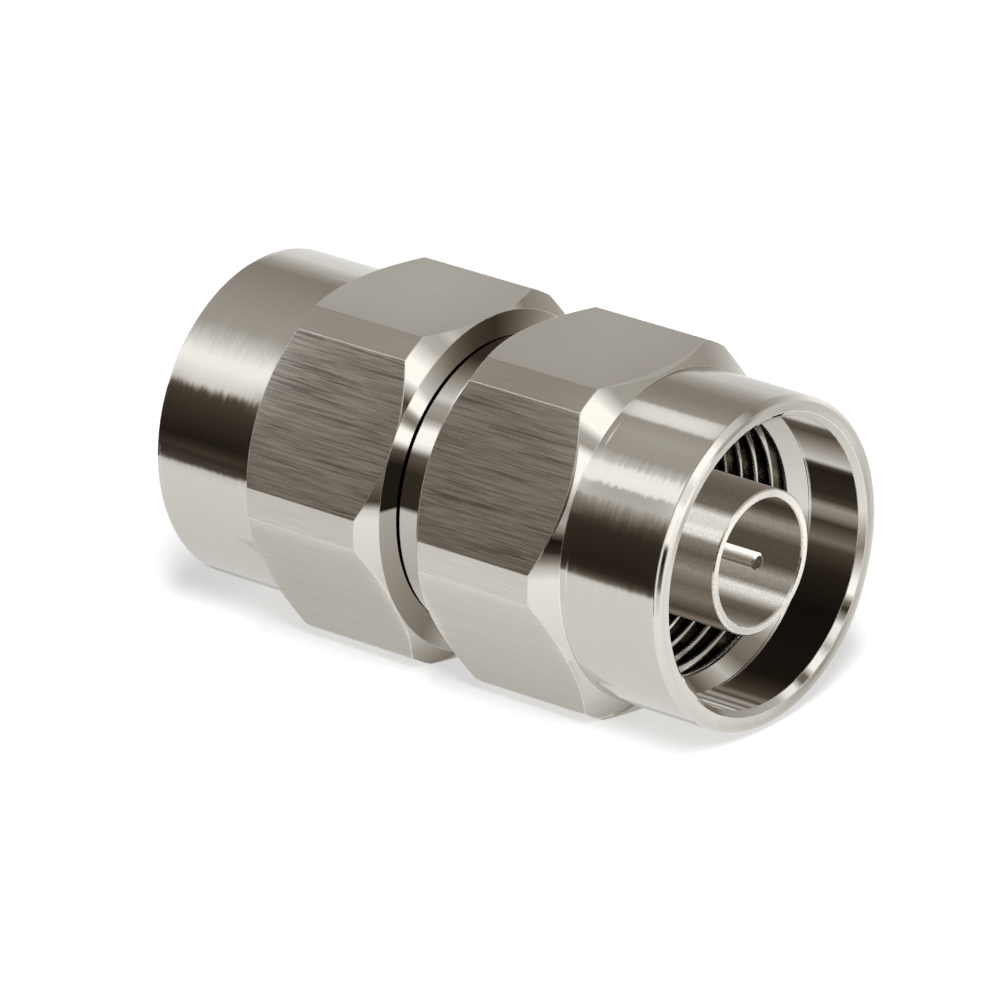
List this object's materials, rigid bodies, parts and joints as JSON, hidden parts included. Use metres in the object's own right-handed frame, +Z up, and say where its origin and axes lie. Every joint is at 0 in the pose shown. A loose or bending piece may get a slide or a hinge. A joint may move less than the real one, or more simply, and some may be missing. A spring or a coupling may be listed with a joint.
{
  "type": "coaxial adapter, type N plug to plug",
  "caption": "Straight coaxial adapter with a male type N coupling nut at each end, hexagon nuts with round skirts, nickel-coloured metal.",
  "frame": {"origin": "middle of the adapter on its axis, midway between the two rims", "axes": "+X along the axis towards the right-hand mouth, which the picture looks into; +Z up, with the hexagon flats' lower pair facing -Z; -Y towards the camera's side"},
  "size_m": [0.0354, 0.021, 0.019],
  "materials": {
    "nut_plating": "brass with bright nickel plating: turned skirt, brushed flats, polished chamfers",
    "body_plating": "brass with bright nickel plating",
    "sleeve_plating": "brass with nickel-coloured plating",
    "contact_plating": "brass with bright silver-coloured plating",
    "spring_bronze": "plain spring bronze",
    "gasket_rubber": "black silicone rubber",
    "insulator_plastic": "white fluoropolymer bead"
  },
  "bodies": {
    "adapter_body": {"main_body": "body_plating", "retaining_ring_right": "spring_bronze", "retaining_ring_left": "spring_bronze", "gasket_right": "gasket_rubber", "gasket_left": "gasket_rubber", "outer_contact_right": "sleeve_plating", "outer_contact_left": "sleeve_plating", "insulator_right": "insulator_plastic", "insulator_left": "insulator_plastic", "centre_contact_right": "contact_plating", "centre_contact_left": "contact_plating"},
    "nut_right": {"coupling_nut_right": "nut_plating"},
    "nut_left": {"coupling_nut_left": "nut_plating"}
  },
  "joints": [
    {"name": "nut_right_spin", "type": "hinge", "parent": "adapter_body", "child": "nut_right", "pos_m": [0.0025, 0, 0], "axis": [1, 0, 0], "continuous": true},
    {"name": "nut_left_spin", "type": "hinge", "parent": "adapter_body", "child": "nut_left", "pos_m": [-0.0025, 0, 0], "axis": [-1, 0, 0], "continuous": true}
  ]
}
